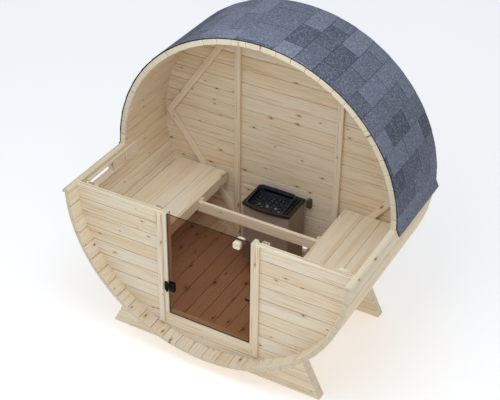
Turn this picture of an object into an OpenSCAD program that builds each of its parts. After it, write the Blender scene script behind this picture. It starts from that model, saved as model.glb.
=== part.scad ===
// Barrel sauna shown as a cutaway: the front half of the barrel ends at the height of its axis,
// and the rear half keeps its upper staves and shingle roof, so the inside can be seen.
// Millimetres, +Z up, ground at Z = 0, barrel axis along Y, door on the -Y end.

/* [Barrel] */
// Outside diameter of the barrel, across the flat faces of the staves
barrel_d = 2050; // [1900:10:2300]
// Length of the barrel along its axis
barrel_l = 1300; // [1200:10:1600]
// Number of staves in the whole ring, odd, with a joint at the bottom and a stave on top
stave_n = 61; // [57:2:65]
// Thickness of a stave
stave_t = 38; // [30:1:45]
// Size of the bevel along each stave edge
stave_bevel = 3; // [1:0.5:5]
// Gap left between the staves and what lies against them
seat_gap = 0.2; // [0.1:0.05:0.4]
// Length of the rear part that keeps its upper half
roofed_l = 650; // [560:10:740]
// Thickness of the shingle roof
roof_t = 6; // [3:0.5:10]
// How far the lip of an eave stave stands out along its lower edge
lip_t = 18; // [10:1:24]
// Height of that lip
lip_h = 42; // [34:1:60]
// How far the lower edge of the roof hangs past the lip
roof_hang = 6; // [2:0.5:12]

/* [Feet] */
// Height of the barrel's underside above the ground
ground_gap = 95; // [70:5:150]
// Thickness of a cradle along the barrel
cradle_t = 70; // [45:1:90]
// Distance from a barrel end to the outer face of its cradle
cradle_inset = 143; // [110:1:200]
// How far each end of a cradle's foot lies inside the barrel's side
cradle_reach = 220; // [160:1:320]
// Lean of a cradle's ends, in degrees from upright
cradle_lean = 26.4; // [15:0.1:30]

/* [End walls] */
// Thickness of the end walls
wall_t = 38; // [30:1:45]
// How far the staves reach past the end walls
overhang = 95; // [70:1:120]
// How far the edge of an end wall reaches into the staves
croze = 8; // [4:1:12]
// Space left between the edge of an end wall and the bottom of its groove
croze_play = 0.5; // [0.5:0.5:2]
// Thickness of the battens and braces on the inner faces of the walls
batten_t = 25; // [18:1:30]
// Width of an upright batten
batten_w = 45; // [35:1:60]
// Distance from the doorway's frame to an upright batten
batten_clear = 27.5; // [15:0.5:50]
// Width of a slanting brace
brace_w = 46; // [35:1:60]
// Height above the barrel axis at which an upper and a lower brace meet
brace_meet_z = 41; // [20:1:60]
// Slope of an upper brace, in degrees from level
brace_up = 55.6; // [50:0.1:60]
// Slope of a lower brace, in degrees from level
brace_down = 53.1; // [48:0.1:57]
// Diameter of the air hole through the back wall
inlet_d = 100; // [60:1:110]
// How far the air hole's centre lies inside the right side of the heater
inlet_inset = 32.5; // [0:0.5:50]
// Height of the air hole's centre above the underside of the heater
inlet_up = 43; // [30:1:60]

/* [Doorway] */
// Clear width between the jambs
door_w = 615; // [560:1:640]
// Height of the sill's top above the lowest stave inside
sill_up = 171; // [130:1:210]
// Width of a jamb as seen from the front
jamb_w = 30; // [20:1:40]
// Height of the sill
sill_h = 79; // [60:1:85]
// Depth of the jambs and sill from the wall's outer face
frame_depth = 60; // [46:1:70]
// Width of the cover strip beside a jamb
casing_w = 37; // [25:1:50]
// Thickness of the cover strip
casing_t = 16; // [10:1:22]

/* [Door] */
// Thickness of the glass
glass_t = 8; // [6:1:10]
// Gap round the glass
door_gap = 6; // [5.5:0.5:8]
// How far the glass lies behind the wall's outer face
glass_recess = 3; // [2:0.5:6]
// Height of the hinge
hinge_h = 70; // [60:1:100]
// Height of the hinge's middle above the sill
hinge_up = 232; // [160:1:330]
// Length of the hinge's glass clamp
clamp_l = 41; // [36:1:70]
// Thickness of each hinge plate
plate_t = 7; // [5:0.5:7]
// Distance from the hinge's jamb plate to the far edge of the jamb
plate_inset = 8; // [1:0.5:10]
// Diameter of the hinge knuckle
knuckle_d = 16; // [13:0.5:16]
// Diameter of the hinge pin
pin_d = 8; // [6:0.5:9]
// Running clearance round the hinge pin and in the vent guides
running_gap = 0.3; // [0.3:0.05:0.6]
// Diameter of a door knob
knob_d = 58; // [45:1:65]
// Length of a door knob
knob_l = 42; // [30:1:46]
// Radius of a knob's rounded edges
knob_r = 5; // [4:1:14]
// Sideways place of the knobs
knob_x = 223; // [190:1:240]
// Depth of the knobs' centre below the barrel axis
knob_drop = 34; // [33:1:60]
// Length of the catch on the free edge of the glass
catch_l = 28; // [20:1:40]
// Height of the catch
catch_h = 12; // [10:1:24]
// Height of the catch's middle above the sill
catch_up = 360; // [320:1:430]

/* [Benches] */
// Height of the bench tops above the lowest stave inside
bench_up = 659; // [620:1:690]
// Clear width of the aisle between the benches
aisle_w = 930; // [880:2:960]
// Number of boards in a bench top
bench_boards = 3; // [2:1:4]
// Gap between a bench top and the staves beside it
bench_wall_gap = 61; // [50:1:90]
// Thickness of a bench board
bench_t = 26; // [20:1:32]
// Gap between bench boards
bench_gap = 2; // [1:0.5:8]
// Thickness of the fascia along the aisle
fascia_t = 20; // [15:1:28]
// Height of the fascia
fascia_h = 86; // [70:1:110]
// Thickness of the bearers under the ends of the boards
bearer_t = 45; // [36:1:60]
// Height of a bearer
bearer_h = 60; // [45:1:80]
// Gap between a bench and the faces of the wall battens
bench_clear = 2; // [1:0.5:6]
// Width of the rail along the wall beside a bench
side_rail_w = 44; // [35:1:60]
// Thickness of that rail
side_rail_t = 28; // [20:1:34]

/* [Guard rail] */
// Clear distance between the rail's cleats and the front of the heater
guard_clear = 73; // [40:1:110]
// Thickness of the rail across the aisle
guard_t = 25; // [18:1:32]
// How far the rail's top lies below the bench tops
guard_below = 22; // [0:1:40]
// Height of the rail
guard_h = 78; // [60:1:110]
// Size of the cleat behind each end of the rail
cleat = 25; // [18:1:32]
// How far a cleat stands above the rail
cleat_rise = 12; // [4:1:20]

/* [Heater] */
// Width of the heater's top frame
heater_w = 367; // [330:1:390]
// Depth of the heater's top frame at its sides
heater_d = 250; // [230:1:290]
// How far the front of the top frame bows out
heater_bow = 25; // [10:1:30]
// Height of the whole heater
heater_h = 480; // [440:1:520]
// How far the heater's top lies below the bench tops
heater_below = 20; // [0:1:60]
// Sideways place of the heater's middle
heater_x = -15; // [-30:1:0]
// Height of the dark top frame
heater_rim = 18; // [14:1:30]
// Width of the border round the stone tray
heater_border = 26; // [18:1:32]
// Width of the slotted strip at the right of the tray
heater_strip = 50; // [44:1:60]
// Depth of the stone tray
tray_depth = 70; // [50:1:100]
// Thickness of the rim round the stone tray
tray_wall = 5; // [3:0.5:6]
// How far that rim rises above the top frame at the back
tray_rise = 28; // [8:1:32]
// Radius of the stone tray's corners
tray_r = 24; // [10:1:30]
// Width of a slot in the strip beside the tray
slot_w = 11; // [6:0.5:12]
// Land between the tray and the first slot, and between the slots
slot_land = 9; // [7:0.5:9]
// Gap between the heater and the back wall, taken up by its bracket
heater_gap = 31; // [6:1:40]
// Thickness of the heater's casing
heater_skin = 3; // [2:0.5:5]
// Size of a stone
stone_d = 42; // [36:1:48]
// Distance between the middles of neighbouring stones
stone_pitch = 52; // [50:1:60]
// How far the middles of the stones lie below the foot of the top frame
stone_drop = 36; // [20:1:45]
// Space left between the bed of stones and the sides of the tray
stone_play = 1; // [0.5:0.5:3]

/* [Sensor] */
// Width of the sensor housing
sensor_w = 34; // [28:1:38]
// Height of the sensor housing
sensor_h = 70; // [60:1:90]
// Thickness of the sensor housing
sensor_t = 28; // [20:1:36]
// Radius of the sensor housing's rounded head
sensor_r = 22; // [20:1:40]
// Gap between the heater and the sensor housing
sensor_gap = 3.5; // [2:0.5:60]
// How far the sensor's middle lies below the heater's top
sensor_below = 38; // [20:1:70]

/* [Vent] */
// Length of the vent slot in the left side
vent_l = 286; // [220:1:286]
// Distance of the slot's front end behind the front wall
vent_inset = 62; // [50:1:90]
// Thickness of the sliding cover
cover_t = 9; // [8:1:14]
// Overlap of the cover over each long edge of the slot
cover_lap = 5; // [3:0.5:8]
// Height of a guide strip
guide_h = 11; // [10:0.5:14]
// Thickness of a guide's two lips
guide_lip = 4; // [3:0.5:6]
// Width of the cover's grip strip
grip_w = 18; // [12:1:24]
// Thickness of the grip strip
grip_t = 12; // [8:1:16]

/* [Hidden] */
$fn = 48;
far = 3000;

WOOD = "#dccba9";
WOOD_CUT = "#e6dac0";
SHINGLE = "#565d73";
BRONZE_GLASS = "#6b4636c0";
BLACK = "#1b1b1d";
TAUPE = "#6f6257";
STONE = "#2b2c31";

// Barrel ring
r_out = barrel_d / 2;
r_in = r_out - stave_t;
pitch = 360 / stave_n;
half = pitch / 2;
axis_z = ground_gap + r_out;
front_y = -barrel_l / 2;
rear_y = barrel_l / 2;
cut_y = rear_y - roofed_l;
low_n = floor(90 / pitch);
stave_face = 2 * r_in * tan(half);
roof_in = r_out + seat_gap;
lip_top = lip_h - r_out * tan(half);
lip_run = lip_h + lip_t * tan(half);
lip_lean = atan2(lip_t, lip_run);
lining = r_in - seat_gap;

// End walls
wall_front = front_y + overhang;
wall_inner = wall_front + wall_t;
back_inner = rear_y - overhang - wall_t;
rough_w = door_w + 2 * jamb_w;
door_drop = r_in - sill_up;
rough_drop = door_drop + sill_h;
batten_x = rough_w / 2 + batten_clear;
brace_end_x = batten_x + batten_w;

// Door
glass_front = wall_front + glass_recess;
glass_back = glass_front + glass_t;
hinge_x = -door_w / 2;
hinge_y = wall_front - plate_t / 2 - knuckle_d / 2;
hinge_top = hinge_up + hinge_h / 2 - door_drop;
knuckle_l = hinge_h / 4;
clamp_x = hinge_x + knuckle_d / 2 + running_gap;

// Benches
bench_drop = r_in - bench_up;
bench_x = aisle_w / 2 + fascia_t;
bench_w = sqrt(r_in * r_in - bench_drop * bench_drop) - bench_wall_gap - bench_x;
bench_front = wall_inner + batten_t + bench_clear;
bench_back = back_inner - batten_t - bench_clear;
board_w = (bench_w - (bench_boards - 1) * bench_gap) / bench_boards;
rail_stave = floor((90 - asin((bench_drop + bench_t) / r_in)) / pitch);

// Heater and what lies round it
heater_drop = bench_drop + heater_below;
heater_back = back_inner - heater_gap;
heater_left = heater_x - heater_w / 2;
heater_right = heater_x + heater_w / 2;
heater_front = heater_back - heater_d;
tray_left = heater_left + heater_border;
tray_right = heater_right - heater_strip - heater_border / 2;
tray_front = heater_front + heater_border / 2;
tray_back = heater_back - heater_border;
tray_w = tray_right - tray_left;
tray_d = tray_back - tray_front;
rim_z = axis_z - heater_drop - heater_rim;
bow_r = (heater_w * heater_w / 4 + heater_bow * heater_bow) / (2 * heater_bow);
inlet_x = heater_right - inlet_inset;
inlet_drop = heater_drop + heater_h - inlet_up;
sensor_x = heater_right + sensor_gap + sensor_w / 2;
sensor_drop = heater_drop + sensor_below;
guard_y = heater_front - heater_bow - guard_clear - cleat - guard_t;

// Vent
vent_y0 = wall_inner + vent_inset;
vent_y1 = vent_y0 + vent_l;
vent_h = stave_face - 2 * (stave_bevel + guide_h + running_gap);
cover_h = vent_h + 2 * cover_lap;
guide_depth = 2 * guide_lip + cover_t + 2 * running_gap;

// A flat outline in X and Z, drawn from the barrel axis, made solid from y0 to y1
module along_barrel(y0, y1) {
    translate([0, y1, axis_z])
        rotate([90, 0, 0])
            linear_extrude(y1 - y0)
                children();
}

// The same piece on the other side of the barrel
module other_side() {
    mirror([1, 0, 0])
        children();
}

// Angle of a stave joint, counted from the joint at the bottom
function joint_at(k) = 270 + k * pitch;

// Point at a radius and angle in the cross-section
function polar(r, a) = [r * cos(a), r * sin(a)];

// Point on a stave's face: distance of the face from the axis, and place across the stave
function on_face(k, r, t) = polar(norm([r, t]), joint_at(k + 0.5) + atan2(t, r));

// Cross-section of the staves between two joints, each a flat board with bevelled edges
module stave_ring(from, to) {
    outer_flat = r_out * tan(half) - stave_bevel;
    inner_flat = r_in * tan(half) - stave_bevel;
    outside = [for (k = [from:to - 1]) each [
        polar(r_out - stave_bevel, joint_at(k)),
        on_face(k, r_out, -outer_flat),
        on_face(k, r_out, outer_flat)]];
    inside = [for (k = [to - 1:-1:from]) each [
        polar(r_in + stave_bevel, joint_at(k + 1)),
        on_face(k, r_in, inner_flat),
        on_face(k, r_in, -inner_flat)]];
    ends = [polar(r_out - stave_bevel, joint_at(to))];
    last = [polar(r_in + stave_bevel, joint_at(from))];
    polygon(concat(outside, ends, inside, last));
}

// Many-sided disc that lies flat against every stave at a distance from the axis
module stave_disc(r) {
    polygon([for (k = [0:stave_n - 1]) polar(r / cos(half), joint_at(k))]);
}

// Round outline of an end wall, or of the groove that holds its edge
module wall_disc(play) {
    circle(r = r_in + croze + play, $fn = 180);
}

// Grooves in the staves that hold the edges of the end walls
module crozes() {
    for (y0 = [wall_front, back_inner])
        along_barrel(y0, y0 + wall_t)
            wall_disc(croze_play);
}

// Staves that run the whole length of the barrel
module long_staves(from, to) {
    color(WOOD)
        difference() {
            along_barrel(front_y, rear_y)
                stave_ring(from, to);
            crozes();
        }
}

// Staves of the rear part only
module short_staves(from, to) {
    color(WOOD)
        difference() {
            along_barrel(cut_y, rear_y)
                stave_ring(from, to);
            crozes();
        }
}

// Joint number at a share of the lower staves of one side, or of the upper staves
function low_joint(share) = round(low_n * share);
function high_joint(share) = low_n + 1 + round((stave_n - 2 * low_n - 2) * share);

module staves_bottom_right() {
    long_staves(0, low_joint(1 / 3));
}

module staves_bottom_left() {
    other_side()
        staves_bottom_right();
}

module staves_lower_right() {
    long_staves(low_joint(1 / 3), low_joint(2 / 3));
}

module staves_lower_left() {
    other_side()
        staves_lower_right();
}

module staves_side_right() {
    long_staves(low_joint(2 / 3), low_n);
}

// Outline in the cross-section, in the frame of the left top stave: x away from the axis
module at_vent() {
    rotate(180 - joint_at(low_n - 0.5))
        children();
}

module staves_side_left() {
    difference() {
        other_side()
            staves_side_right();
        color(WOOD_CUT)
            along_barrel(vent_y0, vent_y1)
                at_vent()
                    translate([r_in - stave_t / 2, -vent_h / 2])
                        square([2 * stave_t, vent_h]);
    }
}

// Lip that leads rain off the eave stave: its outer face runs out to the joint below it
module eave_lip() {
    polygon([
        polar(r_out - stave_bevel, joint_at(low_n)),
        on_face(low_n, r_out + lip_t, -(r_out + lip_t) * tan(half)),
        on_face(low_n, r_out, lip_top)]);
}

// The eave stave at the height of the axis, sawn off level in front of the roofed part
module stave_cut_right() {
    color(WOOD)
        difference() {
            along_barrel(front_y, rear_y)
                union() {
                    stave_ring(low_n, low_n + 1);
                    eave_lip();
                }
            crozes();
            along_barrel(front_y - 1, cut_y)
                square(far);
        }
}

module stave_cut_left() {
    other_side()
        stave_cut_right();
}

module staves_rear_right() {
    short_staves(high_joint(0), high_joint(0.2));
}

module staves_rear_left() {
    other_side()
        staves_rear_right();
}

module staves_shoulder_right() {
    short_staves(high_joint(0.2), high_joint(0.4));
}

module staves_shoulder_left() {
    other_side()
        staves_shoulder_right();
}

module staves_crown() {
    short_staves(high_joint(0.4), stave_n - high_joint(0.4));
}

// Cross-section of the roof from one joint to another, lying on the flats of the staves
module roof_ring(from, to) {
    outside = [for (k = [from:to]) polar((roof_in + roof_t) / cos(half), joint_at(k))];
    inside = [for (k = [to:-1:from]) polar(roof_in / cos(half), joint_at(k))];
    polygon(concat(outside, inside));
}

// The lowest strip of the roof lies on the eave stave and follows its lip outwards
module roof_right() {
    flare = norm([lip_t, lip_run]) + roof_hang;
    color(SHINGLE)
        along_barrel(cut_y, rear_y)
            union() {
                roof_ring(low_n + 1, high_joint(0.4));
                rotate(joint_at(low_n + 0.5))
                    translate([roof_in, lip_top]) {
                        square([roof_t, (roof_in + roof_t) * tan(half) - lip_top]);
                        rotate(lip_lean)
                            translate([0, -flare])
                                square([roof_t, flare]);
                    }
            }
}

module roof_left() {
    other_side()
        roof_right();
}

module roof_crown() {
    color(SHINGLE)
        along_barrel(cut_y, rear_y)
            roof_ring(high_joint(0.4), stave_n - high_joint(0.4));
}

// Plank cradle with leaning ends and a saddle that follows the staves
module cradle(y0) {
    foot = r_out - cradle_reach;
    color(WOOD)
        difference() {
            along_barrel(y0, y0 + cradle_t)
                polygon([
                    [-foot, -axis_z], [foot, -axis_z],
                    [foot - tan(cradle_lean) * axis_z, 0], [tan(cradle_lean) * axis_z - foot, 0]]);
            along_barrel(y0 - 1, y0 + cradle_t + 1)
                stave_disc(r_out + seat_gap);
        }
}

module front_cradle() {
    cradle(front_y + cradle_inset);
}

module rear_cradle() {
    cradle(rear_y - cradle_inset - cradle_t);
}

// Part of the lower front wall between two sideways limits and two depths below the axis
module front_wall_piece(x0, x1, drop0, drop1) {
    color(WOOD)
        intersection() {
            along_barrel(wall_front, wall_inner)
                wall_disc(0);
            along_barrel(wall_front, wall_inner)
                translate([x0, -drop1])
                    square([x1 - x0, drop1 - drop0]);
        }
}

module front_wall_right() {
    front_wall_piece(rough_w / 2, r_out, 0, rough_drop);
}

module front_wall_left() {
    other_side()
        front_wall_right();
}

module front_wall_bottom() {
    front_wall_piece(-r_out, r_out, rough_drop, r_out);
}

// Half of the back wall, above or below the axis
module back_half(z0) {
    color(WOOD)
        intersection() {
            along_barrel(back_inner, back_inner + wall_t)
                wall_disc(0);
            along_barrel(back_inner, back_inner + wall_t)
                translate([-r_out, z0])
                    square([2 * r_out, r_out]);
        }
}

module back_wall_upper() {
    back_half(0);
}

module back_wall_lower() {
    difference() {
        back_half(-r_out);
        color(WOOD_CUT)
            translate([inlet_x, back_inner - 1, axis_z - inlet_drop])
                rotate([-90, 0, 0])
                    cylinder(d = inlet_d, h = wall_t + 2);
    }
}

// Upright batten on the inner face of an end wall, on the right, between two heights
module batten(y0, z0, z1) {
    color(WOOD)
        intersection() {
            along_barrel(y0, y0 + batten_t)
                stave_disc(lining);
            along_barrel(y0, y0 + batten_t)
                translate([batten_x, z0])
                    square([batten_w, z1 - z0]);
        }
}

module one_back_batten() {
    batten(back_inner - batten_t, -r_out, r_out);
}

module back_battens() {
    one_back_batten();
    other_side()
        one_back_batten();
}

module one_front_batten() {
    batten(wall_inner, -r_out, 0);
}

module front_battens() {
    one_front_batten();
    other_side()
        one_front_batten();
}

// Slanting brace on the right, from the staves to the upright batten, between two heights
module brace(y0, slope, z0, z1) {
    meet_x = r_in - brace_w;
    color(WOOD)
        intersection() {
            along_barrel(y0, y0 + batten_t)
                stave_disc(lining);
            along_barrel(y0, y0 + batten_t)
                translate([brace_end_x, z0])
                    square([r_out, z1 - z0]);
            along_barrel(y0, y0 + batten_t)
                translate([meet_x, brace_meet_z])
                    rotate(slope)
                        translate([-brace_w, -brace_w / 2])
                            square([far, brace_w]);
        }
}

module one_back_brace_high() {
    brace(back_inner - batten_t, 180 - brace_up, brace_meet_z, r_out);
}

module back_braces_high() {
    one_back_brace_high();
    other_side()
        one_back_brace_high();
}

module one_back_brace_low() {
    brace(back_inner - batten_t, 180 + brace_down, -r_out, brace_meet_z);
}

module back_braces_low() {
    one_back_brace_low();
    other_side()
        one_back_brace_low();
}

module one_front_brace() {
    brace(wall_inner, 180 + brace_down, -r_out, 0);
}

module front_braces() {
    one_front_brace();
    other_side()
        one_front_brace();
}

// Door frame
module one_door_jamb() {
    color(WOOD)
        along_barrel(wall_front, wall_front + frame_depth)
            translate([door_w / 2, -door_drop])
                square([jamb_w, door_drop]);
}

module door_jambs() {
    one_door_jamb();
    other_side()
        one_door_jamb();
}

module door_sill() {
    color(WOOD)
        along_barrel(wall_front, wall_front + frame_depth)
            translate([-rough_w / 2, -rough_drop])
                square([rough_w, sill_h]);
}

module one_casing() {
    color(WOOD)
        along_barrel(wall_front - casing_t, wall_front)
            translate([rough_w / 2, -rough_drop])
                square([casing_w, rough_drop]);
}

module casings() {
    one_casing();
    other_side()
        one_casing();
}

// Benches
module bench_boards_right() {
    color(WOOD)
        for (i = [0:bench_boards - 1])
            along_barrel(bench_front, bench_back)
                translate([bench_x + i * (board_w + bench_gap), -bench_drop - bench_t])
                    square([board_w, bench_t]);
}

module bench_boards_left() {
    other_side()
        bench_boards_right();
}

module one_bench_fascia() {
    color(WOOD)
        along_barrel(bench_front, bench_back)
            translate([aisle_w / 2, -bench_drop - fascia_h])
                square([fascia_t, fascia_h]);
}

module bench_fascias() {
    one_bench_fascia();
    other_side()
        one_bench_fascia();
}

// Bearer on an end wall, let in over the brace behind it
module bearer(y0) {
    color(WOOD)
        intersection() {
            along_barrel(y0, y0 + bearer_t)
                stave_disc(lining);
            along_barrel(y0, y0 + bearer_t)
                translate([bench_x, -bench_drop - bench_t - bearer_h])
                    square([r_out, bearer_h]);
        }
}

module bearer_pair() {
    difference() {
        bearer(wall_inner);
        one_front_brace();
    }
    difference() {
        bearer(back_inner - bearer_t);
        one_back_brace_low();
    }
}

module bench_bearers() {
    bearer_pair();
    other_side()
        bearer_pair();
}

// Rail fixed flat on the stave beside the bench, between the two bearers
module one_side_rail() {
    color(WOOD)
        along_barrel(wall_inner + bearer_t, back_inner - bearer_t)
            rotate(joint_at(rail_stave + 0.5))
                translate([lining - side_rail_t, -side_rail_w / 2])
                    square([side_rail_t, side_rail_w]);
}

module side_rails() {
    one_side_rail();
    other_side()
        one_side_rail();
}

// Rail across the aisle in front of the heater
module guard_rail() {
    color(WOOD)
        along_barrel(guard_y, guard_y + guard_t)
            translate([-aisle_w / 2, -bench_drop - guard_below - guard_h])
                square([aisle_w, guard_h]);
}

module guard_cleats() {
    color(WOOD)
        for (x = [-aisle_w / 2, aisle_w / 2 - cleat])
            along_barrel(guard_y + guard_t, guard_y + guard_t + cleat)
                translate([x, -bench_drop - guard_below - guard_h])
                    square([cleat, guard_h + cleat_rise]);
}

// Outline of the heater seen from above, with a bowed front, set in by a margin
module heater_outline(margin) {
    intersection() {
        translate([heater_left + margin, heater_front - heater_bow + margin])
            square([heater_w - 2 * margin, heater_d + heater_bow - 2 * margin]);
        translate([heater_x, heater_front - heater_bow + bow_r])
            circle(r = bow_r - margin, $fn = 96);
    }
}

// Outline of the stone tray seen from above, with round corners, set in by a margin
module tray_outline(margin) {
    r = tray_r - margin;
    translate([tray_left + tray_r, tray_front + margin])
        square([tray_w - 2 * tray_r, tray_d - 2 * margin]);
    translate([tray_left + margin, tray_front + tray_r])
        square([tray_w - 2 * margin, tray_d - 2 * tray_r]);
    for (x = [tray_left + tray_r, tray_right - tray_r])
        for (y = [tray_front + tray_r, tray_back - tray_r])
            translate([x, y])
                circle(r = r);
}

// Casing of the heater, a plain steel box under the dark top frame
module heater_body() {
    body_h = heater_h - heater_rim;
    color(TAUPE)
        difference() {
            translate([heater_left + heater_skin, heater_front + heater_skin, rim_z - body_h])
                cube([heater_w - 2 * heater_skin, heater_d - heater_skin, body_h]);
            translate([0, 0, rim_z - tray_depth])
                linear_extrude(tray_depth + 1)
                    tray_outline(0);
        }
}

// What lies under the slanting top of the tray's rim, which rises from the front to the back
module below_tray_rim() {
    y0 = tray_front - tray_wall;
    y1 = tray_back + tray_wall;
    top = rim_z + heater_rim;
    translate([tray_left - tray_wall, 0, 0])
        rotate([90, 0, 90])
            linear_extrude(tray_w + 2 * tray_wall)
                polygon([[y0, rim_z], [y1, rim_z], [y1, top + tray_rise], [y0, top]]);
}

// Top frame with the raised mouth of the stone tray and a row of slots on the right
module heater_top() {
    color(BLACK)
        difference() {
            union() {
                translate([0, 0, rim_z])
                    linear_extrude(heater_rim)
                        heater_outline(0);
                intersection() {
                    translate([0, 0, rim_z])
                        linear_extrude(heater_rim + tray_rise)
                            tray_outline(-tray_wall);
                    below_tray_rim();
                }
            }
            translate([0, 0, rim_z - 1])
                linear_extrude(heater_rim + tray_rise + 2)
                    tray_outline(0);
            for (i = [0:1])
                translate([
                    tray_right + slot_land + i * (slot_w + slot_land),
                    tray_front,
                    rim_z + heater_rim / 2])
                    cube([slot_w, tray_d, heater_rim]);
        }
}

// Bed of stones in the tray, one solid with rounded stones in rows standing out of it
module heater_stones() {
    columns = floor(tray_w / stone_pitch);
    rows = floor(tray_d / stone_pitch);
    color(STONE)
        union() {
            translate([0, 0, rim_z - tray_depth])
                linear_extrude(tray_depth - stone_drop)
                    tray_outline(stone_play);
            for (i = [0:columns - 1])
                for (j = [0:rows - 1])
                    translate([
                        tray_left + tray_w * (i + 0.5) / columns,
                        tray_front + tray_d * (j + 0.5) / rows,
                        rim_z - stone_drop])
                        sphere(d = stone_d, $fn = 24);
        }
}

// Spacer that hangs the heater on the back wall
module heater_bracket() {
    bracket_w = heater_w / 2;
    bracket_h = heater_h / 2;
    color(BLACK)
        translate([
            heater_x - bracket_w / 2,
            heater_back,
            rim_z - (heater_h + bracket_h) / 2])
            cube([bracket_w, heater_gap, bracket_h]);
}

// Sensor housing with a rounded head
module sensor_box() {
    color(TAUPE)
        along_barrel(back_inner - sensor_t, back_inner)
            translate([sensor_x, -sensor_drop])
                union() {
                    translate([-sensor_w / 2, -sensor_h / 2])
                        square([sensor_w, sensor_h - sensor_r]);
                    intersection() {
                        translate([0, sensor_h / 2 - sensor_r])
                            circle(r = sensor_r);
                        translate([-sensor_w / 2, -sensor_h / 2])
                            square([sensor_w, sensor_h]);
                    }
                }
}

// Two grooved strips on the left top stave, in which the vent cover slides
module vent_guides() {
    groove = cover_t + 2 * running_gap;
    color(WOOD)
        for (side = [-1, 1])
            along_barrel(vent_y0, vent_y0 + 2 * vent_l)
                at_vent()
                    scale([1, side])
                        translate([lining - guide_depth, vent_h / 2 + running_gap])
                            difference() {
                                square([guide_depth, guide_h]);
                                translate([guide_lip, -1])
                                    square([groove, cover_lap + 1]);
                            }
}

// Sliding cover of the vent slot with an upright grip strip, drawn slid open to the rear
module vent_cover() {
    face = lining - guide_lip - running_gap;
    color(WOOD) {
        along_barrel(vent_y1, vent_y1 + vent_l)
            at_vent()
                translate([face - cover_t, -cover_h / 2])
                    square([cover_t, cover_h]);
        along_barrel(vent_y1 + (vent_l - grip_w) / 2, vent_y1 + (vent_l + grip_w) / 2)
            at_vent()
                translate([face - cover_t - grip_t, -vent_h / 2 + guide_h])
                    square([grip_t, vent_h - 2 * guide_h]);
    }
}

// Upright round bar of the hinge between two heights from the barrel axis
module hinge_round(d, z0, z1) {
    translate([hinge_x, hinge_y, axis_z + z0])
        cylinder(d = d, h = z1 - z0);
}

// Fixed half of the hinge: a plate on the jamb, two knuckles and the pin
module hinge_jamb() {
    plate_l = jamb_w - plate_inset;
    color(BLACK)
        union() {
            for (z0 = [hinge_top - hinge_h, hinge_top - knuckle_l])
                hinge_round(knuckle_d, z0, z0 + knuckle_l);
            hinge_round(pin_d, hinge_top - hinge_h, hinge_top);
            for (z0 = [hinge_top - hinge_h, hinge_top - knuckle_l])
                along_barrel(wall_front - plate_t, wall_front)
                    translate([hinge_x - plate_l, z0])
                        square([plate_l, knuckle_l]);
            along_barrel(wall_front - plate_t, wall_front)
                translate([hinge_x - plate_l, hinge_top - hinge_h])
                    square([plate_l - knuckle_d / 2 - door_gap, hinge_h]);
        }
}

// Moving half of the hinge: a knuckle on the pin and plates on both faces of the glass
module hinge_clamp() {
    z0 = hinge_top - hinge_h + knuckle_l + door_gap;
    z1 = hinge_top - knuckle_l - door_gap;
    color(BLACK)
        difference() {
            union() {
                hinge_round(knuckle_d, z0, z1);
                along_barrel(glass_front - plate_t, glass_front)
                    translate([clamp_x, hinge_top - hinge_h])
                        square([clamp_l, hinge_h]);
                along_barrel(glass_back, glass_back + plate_t)
                    translate([clamp_x, hinge_top - hinge_h])
                        square([clamp_l, hinge_h]);
                along_barrel(hinge_y, glass_front)
                    translate([hinge_x, z0])
                        square([clamp_x - hinge_x + clamp_l / 2, z1 - z0]);
            }
            hinge_round(pin_d + 2 * running_gap, hinge_top - hinge_h - 1, hinge_top + 1);
        }
}

module door_glass() {
    color(BRONZE_GLASS)
        along_barrel(glass_front, glass_back)
            translate([door_gap - door_w / 2, door_gap - door_drop])
                square([door_w - 2 * door_gap, door_drop - door_gap]);
}

// Turned knob with rounded edges, standing on a face at y and reaching along +Y or -Y
module knob(y, side) {
    translate([knob_x, y, axis_z - knob_drop])
        rotate([-90 * side, 0, 0])
            rotate_extrude()
                union() {
                    square([knob_d / 2, knob_l - knob_r]);
                    square([knob_d / 2 - knob_r, knob_l]);
                    translate([knob_d / 2 - knob_r, knob_l - knob_r])
                        intersection() {
                            circle(r = knob_r);
                            square(knob_r);
                        }
                }
}

module door_knobs() {
    color(WOOD_CUT) {
        knob(glass_front, -1);
        knob(glass_back, 1);
    }
}

module door_catch() {
    color(BLACK)
        along_barrel(glass_front - plate_t, glass_front)
            translate([door_w / 2 - door_gap - catch_l, catch_up - door_drop - catch_h / 2])
                square([catch_l, catch_h]);
}

staves_bottom_left();
staves_bottom_right();
staves_lower_left();
staves_lower_right();
staves_side_left();
staves_side_right();
stave_cut_left();
stave_cut_right();
staves_rear_left();
staves_shoulder_left();
staves_crown();
staves_shoulder_right();
staves_rear_right();
roof_left();
roof_crown();
roof_right();
front_cradle();
rear_cradle();
front_wall_left();
front_wall_right();
front_wall_bottom();
back_wall_lower();
back_wall_upper();
back_battens();
back_braces_low();
back_braces_high();
front_battens();
front_braces();
door_jambs();
door_sill();
casings();
bench_boards_left();
bench_boards_right();
bench_fascias();
bench_bearers();
side_rails();
guard_rail();
guard_cleats();
heater_body();
heater_top();
heater_stones();
heater_bracket();
sensor_box();
vent_guides();
vent_cover();
hinge_jamb();
hinge_clamp();
door_glass();
door_knobs();
door_catch();
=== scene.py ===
# Barrel sauna shown as a cutaway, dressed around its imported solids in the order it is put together.
# Metres, +Z up, ground at Z = 0, barrel axis along Y, door on the -Y end.
import math
import random

import bmesh
import bpy
from mathutils import Matrix, Vector


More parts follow.
